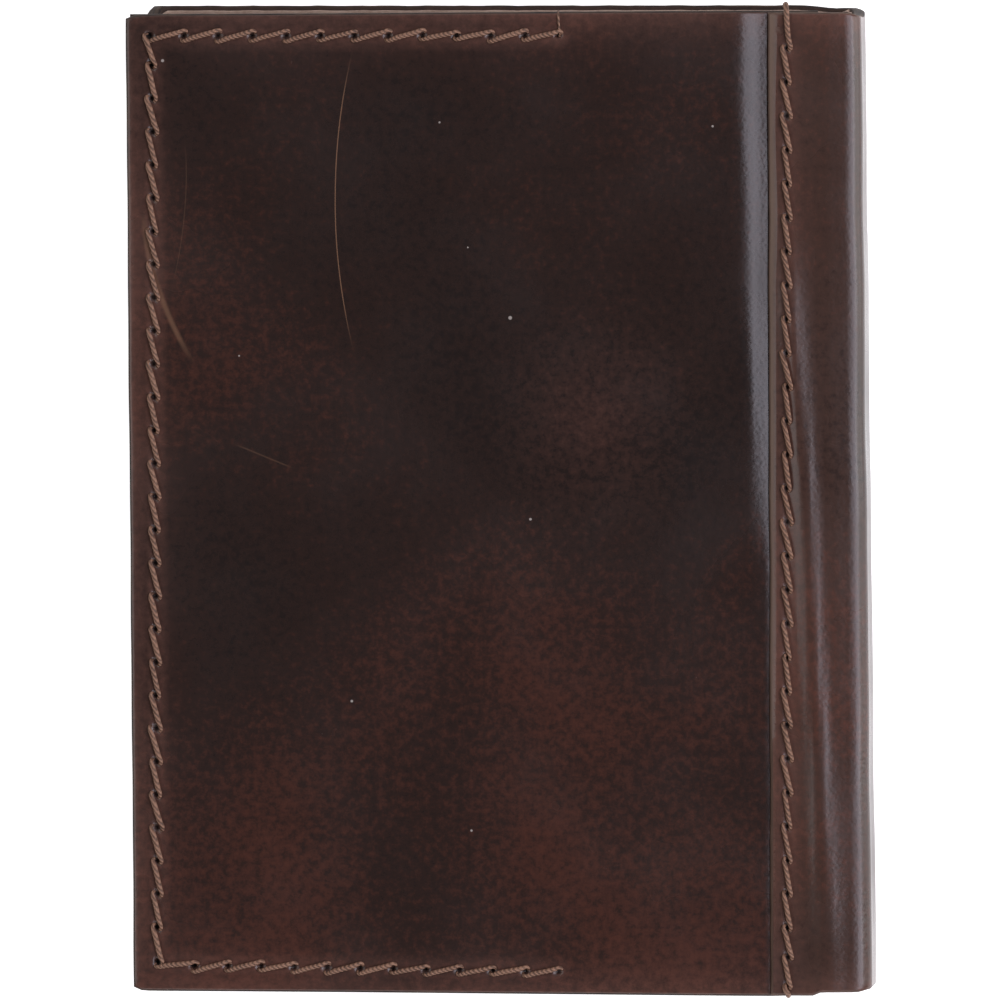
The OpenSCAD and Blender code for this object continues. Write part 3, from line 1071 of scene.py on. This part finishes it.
@dataclass
class Finishes:
    """The wallet's materials, one of each."""

    def __post_init__(self) -> None:
        """Makes the materials."""
        self.front = PullUpLeather(
            name="pull_up_cowhide_front_glossy",
            bloom=(12.0, 9.5, 17.0),
            scratches=(
                Scratch(-19.35, 35.6, 18.5, bow=0.0066, width=0.085, strength=0.68),
                Scratch(-37.3, 34.0, 9.0, bow=-0.010, slope=0.10, width=0.08, strength=0.14),
                Scratch(-40.6, 25.5, 9.5, bow=0.016, slope=-0.32, width=0.22, strength=0.40, spread=0.3),
                Scratch(-28.0, 5.2, 1.6, slope=-2.4, width=0.16, strength=0.18, spread=0.2)),
            specks=((-39.8, 52.5, 0.22), (-6.9, 45.0, 0.14), (25.5, 44.4, 0.16), (-3.6, 30.1, 0.12),
                    (1.4, 21.7, 0.26), (3.7, -2.3, 0.19), (-17.7, -24.1, 0.19), (-3.5, -39.5, 0.17),
                    (-30.9, 17.2, 0.13))).build()
        self.outer = PullUpLeather(
            name="pull_up_cowhide_spine_glossy", deep="#2a1d1a", body="#3c2a24", warm="#57342a",
            roughness=0.27, lower_warmth=0.2).build()
        self.pocket = PullUpLeather(
            name="pull_up_cowhide_pocket_satin", deep="#2f201b", body="#3f2b24", warm="#59392d",
            # its rubbed colour holds a painted sheen too
            rubbed="#6c4b3c", roughness=0.40, lower_warmth=0.2).build()
        self.flesh = SplitLeather("cowhide_flesh_side_brushed", "#2b1f1a", "#44332b").build()
        self.suede = SplitLeather("suede_lining_undyed_brushed", "#8f7667", "#b0988a").build()
        self.edge = BurnishedEdge().build()
        self.pared = BurnishedEdge("cowhide_edge_pared", "#4d3b32", "#6e574b").build()
        self.thread = WaxedThread().build()
        self.fine_thread = WaxedThread("polyester_thread_fine_waxed", twist=0.5).build()

    def shell(self, grain: bpy.types.Material, pared: bool = False) -> dict[Side, bpy.types.Material]:
        """The three sides of an outer piece with this grain, and with its edge burnished or pared."""
        return {Side.GRAIN: grain, Side.FLESH: self.flesh, Side.EDGE: self.pared if pared else self.edge}

    def lining(self) -> dict[Side, bpy.types.Material]:
        """The sides of a lining, suede all over."""
        return dict.fromkeys(Side, self.suede)


@dataclass
class Cover:
    """The front cover: the front panel, its pocket inside and the stitching that holds them together."""

    plan: Plan
    finishes: Finishes
    top_y: float = 58.1 * MM
    bottom_y: float = -59.0 * MM

    def seams(self) -> list[Seam]:
        """The column by the free edge and the rows along the top and the bottom, spaced as by hand."""
        x = self.plan.column_x
        high, low = (x, 52.0 * MM), (x, -51.24 * MM)
        top, foot, turn = (x - 0.24 * MM, 55.5 * MM), (x + 0.08 * MM, -55.5 * MM), (x + 4.42 * MM, -55.9 * MM)
        return [Seam.between(high, low, 26), Seam.between(top, high, 1), Seam.between(low, foot, 1),
                Seam.between(top, (7.27 * MM, 55.3 * MM), 12), Seam.between(foot, turn, 1),
                Seam.between(turn, (6.8 * MM, -56.29 * MM), 11)]

    def front_leather(self) -> bpy.types.Object:
        """Cuts, sews and shapes the front panel."""
        p = self.plan
        across = (p.x_free - 0.1 * MM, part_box("front_panel")[1][0])
        sheet = Sheet("front_leather", across, (self.bottom_y, self.top_y), p.shell, cell=0.95 * MM,
                      round_end=False, edge_radius=0.42 * MM)
        piece = sheet.cut()
        seams = self.seams()
        refine(piece, beside(seams))
        keep_hide(piece, sheet, seams)
        dress(piece, p.shell, self.finishes.shell(self.finishes.front))
        Awl().press(piece, seams)
        fold(piece, FrontForm(p))
        smooth_by_angle(piece)
        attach(piece, "cover")
        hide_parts("front_panel")
        return piece

    def front_thread(self) -> bpy.types.Object:
        """Sews the front panel's rows, with the short end that runs to the edge at the top."""
        p = self.plan
        thread = Thread(swing=0.76)
        piece = thread.sew("front_thread", self.seams())
        x, y = self.seams()[3].hole(12)
        r = thread.radius
        end = [(x + 0.1 * MM, y - 0.3 * MM, -1.5 * r), (x + 0.15 * MM, y + 0.2 * MM, 0.3 * r),
               (x + 0.05 * MM, y + 1.2 * MM, 0.5 * r), (x - 0.05 * MM, self.top_y - 0.2 * MM, 0.3 * r),
               (x - 0.05 * MM, self.top_y + 0.1 * MM, -1.6 * r)]
        piece = join([piece, tube(end, 0.42 * r)], "front_thread")
        piece.data.materials.append(self.finishes.thread)
        fold(piece, FrontForm(p))
        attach(piece, "cover")
        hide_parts("front_stitching")
        return piece

    def front_pocket(self) -> bpy.types.Object:
        """Cuts the pocket inside the cover."""
        p = self.plan
        low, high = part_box("front_pocket")
        sheet = Sheet("front_pocket_leather", (-high[0], -low[0]), (low[1], high[1] - 0.6 * MM),
                      high[2] - low[2], edge_radius=0.2 * MM)
        piece = sheet.cut()
        keep_hide(piece, sheet)
        dress(piece, sheet.thickness, self.finishes.shell(self.finishes.pocket))
        fold(piece, FlatForm(p, low[2], face_down=True))
        smooth_by_angle(piece)
        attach(piece, "cover")
        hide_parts("front_pocket")
        return piece

    def inner_thread(self) -> bpy.types.Object:
        """The same rows seen from inside the cover."""
        p = self.plan
        low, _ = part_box("front_pocket")
        corner, steps = -p.column_x, 12
        first = corner - steps * p.pitch
        seams = [Seam((corner, p.seam_y), DOWN, p.column), Seam((first, p.seam_y), ACROSS, steps),
                 Seam((first, -p.seam_y), ACROSS, steps)]
        piece = Thread(radius=0.2 * MM, seed=11).sew("front_pocket_thread", seams)
        piece.data.materials.append(self.finishes.thread)
        fold(piece, FlatForm(p, low[2], face_down=True))
        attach(piece, "cover")
        return piece

    def build(self) -> list[bpy.types.Object]:
        """Builds the cover's own pieces."""
        return [self.front_leather(), self.front_thread(), self.front_pocket(), self.inner_thread()]


@dataclass
class OuterLeather:
    """The long outer strip: lap, spine, back, fold and flap, with the lining inside its folds."""

    plan: Plan
    finishes: Finishes
    top_y: float = 58.9 * MM
    bottom_y: float = -58.85 * MM
    lap_top_y: float = 57.85 * MM
    back_columns: tuple[float, float] = (-35.5 * MM, 36.5 * MM)

    def __post_init__(self) -> None:
        """Works out where the strip is split along its route."""
        path = Path(self.plan)
        self.path = path
        self.form = OuterForm(self.plan)
        self.mid_spine = path.start_of(2) + 0.5 * path.legs()[2][0]
        self.fold_split = path.start_of(4) + (self.plan.x_spine - self.plan.bend) + 37.5 * MM
        self.mid_fold = path.start_of(6) + 0.5 * path.legs()[6][0]
        self.end = path.start_of(9)

    def on_back(self, x: float) -> float:
        """Distance along the route of a place on the back."""
        return self.path.start_of(4) + self.plan.x_spine - self.plan.bend - x

    def strip(self, sheet: Sheet, seams: Sequence[Seam], awl: Awl, paring: bool = False) -> bpy.types.Object:
        """Cuts and folds one stretch of the strip.

        Args:
            sheet: Its flat sizes.
            seams: Its rows of stitches.
            awl: How the stitching marks it.
            paring: True where it starts at the lap's pared edge.

        Returns:
            The stretch in its place.
        """
        piece = sheet.cut()
        if seams:
            refine(piece, beside(seams))
        if paring:
            refine(piece, lambda places: places[:, 0] < 1.6 * MM)
        keep_hide(piece, sheet, seams)
        dress(piece, sheet.thickness, self.finishes.shell(self.finishes.outer, paring))
        awl.press(piece, seams)
        if paring:
            self.pare(piece)
        if sheet.s[0] == self.mid_spine:
            self.ease_top(piece)
        fold(piece, self.form)
        smooth_by_angle(piece)
        return piece

    def ease_top(self, piece: bpy.types.Object) -> None:
        """Slopes the back's top edge down to the lap's at mid-spine."""
        co = corners(piece)
        near = 1 - smooth((co[:, 0] - self.mid_spine) / (7 * MM))
        co[:, 1] -= (self.top_y - self.lap_top_y) * near * smooth((co[:, 1] - 48 * MM) / (10 * MM))
        put_corners(piece, co)

    def pare(self, piece: bpy.types.Object) -> None:
        """Cuts the lap's edge to a slant that is wide at the top of the wallet and narrow at its foot."""
        co = corners(piece)
        width = (0.30 + 0.65 * smooth((co[:, 1] + 70 * MM) / (130 * MM))) * MM * (
            1 + 0.10 * np.sin(co[:, 1] / (4.1 * MM)))
        on_top = co[:, 2] > -0.6 * self.plan.shell
        slant = np.clip(1 - co[:, 0] / width, 0, 1)
        co[:, 2] -= np.where(on_top, 0.50 * MM * slant, 0.0)
        put_corners(piece, co)
        set_tone(piece, np.where(on_top, smooth(1.6 * slant), 0.0))

    def lap_seams(self) -> list[Seam]:
        """The column of stitches beside the spine, closer together at its foot."""
        x = self.plan.lap_seam
        return [Seam.between((x, 53.65 * MM), (x, -50.7 * MM), 26),
                Seam.between((x, -50.7 * MM), (x, -57.7 * MM), 2)]

    def lap(self) -> bpy.types.Object:
        """The lap over the front panel and the upper half of the spine."""
        p = self.plan
        sheet = Sheet("spine_leather", (0.0, self.mid_spine), (self.bottom_y, self.lap_top_y), p.shell,
                      cell=0.85 * MM, round_end=False)
        piece = self.strip(sheet, self.lap_seams(), Awl(hole_depth=0.4 * MM), paring=True)
        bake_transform(piece)
        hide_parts("spine_lap")
        return piece

    def lap_thread(self) -> bpy.types.Object:
        """Sews the lap, with the thread turned over the top and bottom edges."""
        p = self.plan
        thread = Thread(seed=5, swing=0.62)
        piece = thread.sew("lap_thread", self.lap_seams())
        r, s = thread.radius, p.lap_seam
        first, last = self.lap_seams()[0].hole(0)[1], self.lap_seams()[1].hole(2)[1]
        peak, foot_y = self.top_y - 0.02 * MM, self.bottom_y + 0.30 * MM
        top = [(s - 0.20 * MM, peak - 0.3 * MM, -4.5 * r), (s - 0.15 * MM, peak + 0.1 * MM, -1.4 * r),
               (s - 0.05 * MM, peak - 0.5 * MM, 0.9 * r), (s + 0.05 * MM, first + 2.8 * MM, 1.0 * r),
               (s + 0.25 * MM, first + 0.8 * MM, 0.9 * r), (s + 0.55 * MM, first + 0.1 * MM, 0.4 * r),
               (s + 0.3 * MM, first - 0.5 * MM, -1.6 * r)]
        foot = [(s - 0.25 * MM, last + 0.3 * MM, -1.6 * r), (s - 0.4 * MM, last - 0.1 * MM, 0.5 * r),
                (s - 0.15 * MM, last - 0.7 * MM, 1.0 * r), (s + 0.05 * MM, foot_y + 0.1 * MM, 0.9 * r),
                (s + 0.1 * MM, foot_y - 0.35 * MM, -0.8 * r), (s + 0.1 * MM, foot_y - 0.3 * MM, -3.6 * r)]
        piece = join([piece, tube(top, r), tube(foot, r)], "lap_thread")
        piece.data.materials.append(self.finishes.thread)
        fold(piece, self.form)
        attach(piece, "cover")
        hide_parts("lap_stitching")
        return piece

    def back_seams(self) -> list[Seam]:
        """The rows round the note compartment, on the back's outer face."""
        p = self.plan
        right, left = self.on_back(self.back_columns[1]), self.on_back(self.back_columns[0])
        across = round((left - right) / p.pitch)
        return [Seam((right, p.seam_y), DOWN, p.column), Seam((right, -p.seam_y), ACROSS, across),
                Seam((left, p.seam_y), DOWN, p.column)]

    def back(self) -> bpy.types.Object:
        """The back and the lower half of the spine."""
        p = self.plan
        sheet = Sheet("back_leather", (self.mid_spine, self.fold_split), (self.bottom_y, self.top_y), p.shell,
                      cell=1.1 * MM, round_start=False, round_end=False)
        piece = self.strip(sheet, self.back_seams(), Awl(hole_depth=0.95 * MM, lip=0.0, bed=0.72 * MM))
        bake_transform(piece)
        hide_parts("back_panel", "spine_wrap")
        return piece

    def back_thread(self) -> bpy.types.Object:
        """Sews the back, sunk below its face."""
        piece = Thread(radius=0.3 * MM, seed=3).sew("back_thread", self.back_seams())
        piece.data.materials.append(self.finishes.thread)
        fold(piece, lambda s, y, h: self.form(s, y, h - 0.66 * MM))
        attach(piece, "back")
        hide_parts("back_stitching")
        return piece

    def inner_fold(self) -> bpy.types.Object:
        """The lower half of the inner fold."""
        p = self.plan
        sheet = Sheet("fold_leather", (self.fold_split, self.mid_fold), (self.bottom_y, self.top_y), p.shell,
                      cell=0.8 * MM, round_start=False, round_end=False)
        piece = self.strip(sheet, [], Awl())
        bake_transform(piece)
        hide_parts("fold_wrap")
        return piece

    def flap(self) -> bpy.types.Object:
        """The upper half of the inner fold and the flap."""
        p = self.plan
        sheet = Sheet("flap_leather", (self.mid_fold, self.end), (self.bottom_y, self.top_y), p.shell,
                      cell=1.1 * MM, round_start=False)
        piece = self.strip(sheet, [], Awl())
        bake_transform(piece)
        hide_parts("flap_panel")
        return piece

    def lining(self, name: str, s: tuple[float, float], nodes: Sequence[str], bodies: tuple[str, str],
               start: tuple[float, float, float], end: tuple[float, float, float]) -> bpy.types.Object:
        """Cuts one stretch of the lining.

        Args:
            name: The piece's name.
            s: Where it starts and ends along the route.
            nodes: The nodes it stands for.
            bodies: Two body names; not used.
            start: A place where a bend starts; not used.
            end: A place where a bend ends; not used.

        Returns:
            The stretch in its place.
        """
        depth = self.plan.shell + 0.1 * MM
        sheet = Sheet(name, s, (self.bottom_y + 0.4 * MM, self.top_y - 0.6 * MM), 0.8 * MM, cell=1.3 * MM,
                      round_start=False, round_end=False, edge_radius=0.15 * MM)
        piece = sheet.cut()
        keep_hide(piece, sheet)
        dress(piece, sheet.thickness, self.finishes.lining())
        fold(piece, lambda a, y, h: self.form(a, y, h - depth))
        smooth_by_angle(piece)
        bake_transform(piece)
        if nodes:
            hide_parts(*nodes)
        return piece

    def linings(self) -> list[bpy.types.Object]:
        """The lining from the spine's top, over the back, to the flap's fold."""
        p = self.plan
        first, last = self.path.start_of(1) + 0.4 * MM, self.path.start_of(8) - 0.6 * MM
        return [
            self.lining("spine_top_lining", (first, self.mid_spine), [], ("spine", "cover"),
                        (p.x_spine, 0, p.lap_top - p.bend), (p.x_spine - p.bend, 0, p.lap_top)),
            self.lining("back_suede_lining", (self.mid_spine, self.fold_split),
                        ["back_lining", "spine_lining"], ("back", "spine"), (p.x_spine - p.bend, 0, 0),
                        (p.x_spine, 0, p.bend)),
            self.lining("fold_suede_lining", (self.fold_split, self.mid_fold), ["fold_lining"],
                        ("back", "inner_fold"), (p.x_fold + p.bend, 0, 0), (p.x_fold, 0, p.bend)),
            self.lining("fold_top_lining", (self.mid_fold, last), [], ("inner_fold", "flap"),
                        (p.x_fold, 0, p.flap_top - p.bend), (p.x_fold + p.bend, 0, p.flap_top)),
        ]

    def build(self) -> list[bpy.types.Object]:
        """Builds the strip's pieces."""
        return [self.lap(), self.lap_thread(), self.back(), self.back_thread(), self.inner_fold(),
                self.flap(), *self.linings()]


@dataclass
class Inside:
    """The note divider, the card slots, the card pocket and the flap's pocket."""

    plan: Plan
    finishes: Finishes
    notch_radius: float = 9.0 * MM
    card_columns: tuple[float, float] = (-36.0 * MM, 20.0 * MM)
    divider_columns: tuple[float, float] = (24.5 * MM, 36.5 * MM)
    flap_columns: tuple[float, float] = (-35.5 * MM, -3.5 * MM)

    def slip(self, node: str, body: str, notched: bool = False, face_down: bool = False,
             seams: Sequence[Seam] = ()) -> bpy.types.Object:
        """Cuts one flat inner piece to the size of its node.

        Args:
            node: The node that it stands for.
            body: The body that it rides on.
            notched: True where it has a thumb notch.
            face_down: True where its grain side looks down.
            seams: Rows of stitches that mark it.

        Returns:
            The piece in its place.
        """
        low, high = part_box(node)
        across = (-high[0], -low[0]) if face_down else (low[0], high[0])
        notch = None
        if notched:
            notch = (sum(across) / 2, high[1] + 0.55 * self.notch_radius, self.notch_radius)
        bottom = max(low[1], -58.7 * MM)
        sheet = Sheet(node + "_leather", across, (bottom, high[1]), high[2] - low[2], cell=1.5 * MM,
                      edge_radius=0.18 * MM, notch=notch)
        piece = sheet.cut()
        if seams:
            refine(piece, beside(seams, 1.4 * MM))
        keep_hide(piece, sheet, seams, wear=1.4 * MM)
        dress(piece, sheet.thickness, self.finishes.shell(self.finishes.pocket))
        if seams:
            Awl(hole_depth=0.3 * MM, lip=0.03 * MM, bed=0.2 * MM).press(piece, seams)
        fold(piece, FlatForm(self.plan, low[2] if face_down else high[2], face_down))
        smooth_by_angle(piece)
        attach(piece, body)
        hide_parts(node)
        return piece

    def rows(self, name: str, body: str, seams: Sequence[Seam], height: float, face_down: bool = False,
             replaces: str = "") -> bpy.types.Object:
        """Sews rows of fine stitches on a flat inner piece."""
        piece = Thread(radius=0.25 * MM, seed=len(name)).sew(name, seams)
        piece.data.materials.append(self.finishes.fine_thread)
        sunk = 0.1 * MM
        form = FlatForm(self.plan, height, face_down)
        fold(piece, lambda x, y, h: form(x, y, h - sunk))
        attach(piece, body)
        if replaces:
            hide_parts(replaces)
        return piece

    def card_seams(self) -> list[Seam]:
        """The rows round the card pocket."""
        p = self.plan
        left, right = self.card_columns
        steps = 15
        top = -p.seam_y + steps * p.pitch
        across = round((right - left) / p.pitch)
        return [Seam((left, top), DOWN, steps), Seam((left, -p.seam_y), ACROSS, across),
                Seam((right, top), DOWN, steps)]

    def divider_seams(self) -> list[Seam]:
        """The rows of the note compartment, seen from inside."""
        p = self.plan
        steps = 26
        top = -p.seam_y + steps * p.pitch
        left, right = self.divider_columns
        across = round((right - left) / p.pitch)
        return [Seam((right, top), DOWN, steps), Seam((left, -p.seam_y), ACROSS, across)]

    def flap_seams(self) -> list[Seam]:
        """The rows of the flap's pocket, in the flat place that looks down."""
        p = self.plan
        left, right = -self.flap_columns[1], -self.flap_columns[0]
        steps = 22
        top = -p.seam_y + steps * p.pitch
        across = round((right - left) / p.pitch)
        return [Seam((left, top), DOWN, steps), Seam((left, -p.seam_y), ACROSS, across)]

    def build(self) -> list[bpy.types.Object]:
        """Builds the inner pieces."""
        cards, flap, divider = self.card_seams(), self.flap_seams(), self.divider_seams()
        pieces = [self.slip("note_divider", "back", seams=divider)]
        for slot in ("card_slot_upper", "card_slot_middle", "card_slot_lower"):
            pieces.append(self.slip(slot, "back", notched=True))
        pieces += [
            self.slip("card_pocket", "back", notched=True, seams=cards),
            self.rows("card_thread", "back", cards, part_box("card_pocket")[1][2], replaces="card_stitching"),
            self.rows("divider_thread", "back", divider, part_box("note_divider")[1][2]),
            self.slip("flap_pocket", "flap", face_down=True, seams=flap),
            self.rows("flap_thread", "flap", flap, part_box("flap_pocket")[0][2], True, "flap_stitching"),
        ]
        return pieces


@dataclass(frozen=True)
class Softbox:
    """A rectangular softbox that faces the wallet."""

    name: str
    place: Place
    size: tuple[float, float]  # its level side, and the side that slopes up
    watts: float
    tint: str = "#ffffff"

    def hang(self) -> None:
        """Adds the light."""
        data = bpy.data.lights.new(self.name, "AREA")
        data.shape = "RECTANGLE"
        data.size, data.size_y = self.size
        data.energy = self.watts
        data.color = srgb(self.tint)[:3]
        light = bpy.data.objects.new(self.name, data)
        bpy.context.scene.collection.objects.link(light)
        light.location = self.place
        light.rotation_euler = (-light.location).to_track_quat("-Z", "Y").to_euler()


@dataclass
class Studio:
    """The pale floor, the soft lights and the camera."""

    plan: Plan
    distance: float = 1.3
    floor_drop: float = 0.3 * MM
    frame_width: float = 118.8 * MM
    side_angle: float = 3.0
    top_angle: float = 1.6
    air: float = 0.06
    lights: tuple[Softbox, ...] = (
        Softbox("right_softbox", (0.66, 0.0, 0.93), (1.3, 0.60), 9.5, "#f3f0ff"),
        Softbox("left_softbox", (-1.05, 0.2, 0.75), (1.4, 1.2), 7.5),
        Softbox("right_card", (0.85, 0.1, 0.32), (0.4, 1.0), 4.0),
        Softbox("top_softbox", (0.0, 1.25, 0.95), (1.4, 0.6), 2.0),
        Softbox("foot_softbox", (0.1, -1.2, 0.8), (1.4, 0.6), 4.5))

    def floor(self) -> None:
        """Lays the light table."""
        clear_selection()
        bpy.ops.mesh.primitive_plane_add(size=6.0, location=(0, 0, -self.floor_drop))
        table = bpy.context.object
        table.name = "light_table"
        table.data.materials.append(LightTable().build())

    def camera(self) -> None:
        """Looks down on the wallet from a long way off, a little from the right and the top."""
        data = bpy.data.cameras.new("camera")
        data.sensor_width = 36.0
        data.lens = self.distance * data.sensor_width / self.frame_width
        data.clip_end = 20.0
        target = Vector((0.1 * MM, 0.0, self.plan.front_top))
        aside, above = (math.tan(math.radians(angle)) for angle in (self.side_angle, self.top_angle))
        back = Vector((aside, above, 1.0)).normalized()
        right = Vector((0, 1, 0)).cross(back).normalized()
        up = back.cross(right)
        spin = Matrix((right, up, back)).transposed()
        camera = bpy.data.objects.new("camera", data)
        bpy.context.scene.collection.objects.link(camera)
        camera.matrix_world = Matrix.Translation(target + back * self.distance) @ spin.to_4x4()
        bpy.context.scene.camera = camera

    def build(self) -> None:
        """Sets up the studio."""
        scene = bpy.context.scene
        scene.view_settings.view_transform = "Standard"
        world = bpy.data.worlds.new("studio_air")
        world.use_nodes = True
        background = world.node_tree.nodes["Background"]
        background.inputs[0].default_value = srgb("#ffffff")
        background.inputs[1].default_value = self.air
        scene.world = world
        self.floor()
        for light in self.lights:
            light.hang()
        self.camera()


def main() -> None:
    """Builds the wallet over its frame."""
    logging.basicConfig(level=logging.INFO, format="%(message)s")
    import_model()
    plan = Plan.read()
    finishes = Finishes()
    pieces: list[bpy.types.Object] = []
    for assembly in (Cover(plan, finishes), OuterLeather(plan, finishes), Inside(plan, finishes)):
        made = assembly.build()
        for piece in made:
            log.info("%s: %s, %d faces", type(assembly).__name__, piece.name, len(piece.data.polygons))
        pieces += made
    Studio(plan).build()


if __name__ == "__main__":
    main()
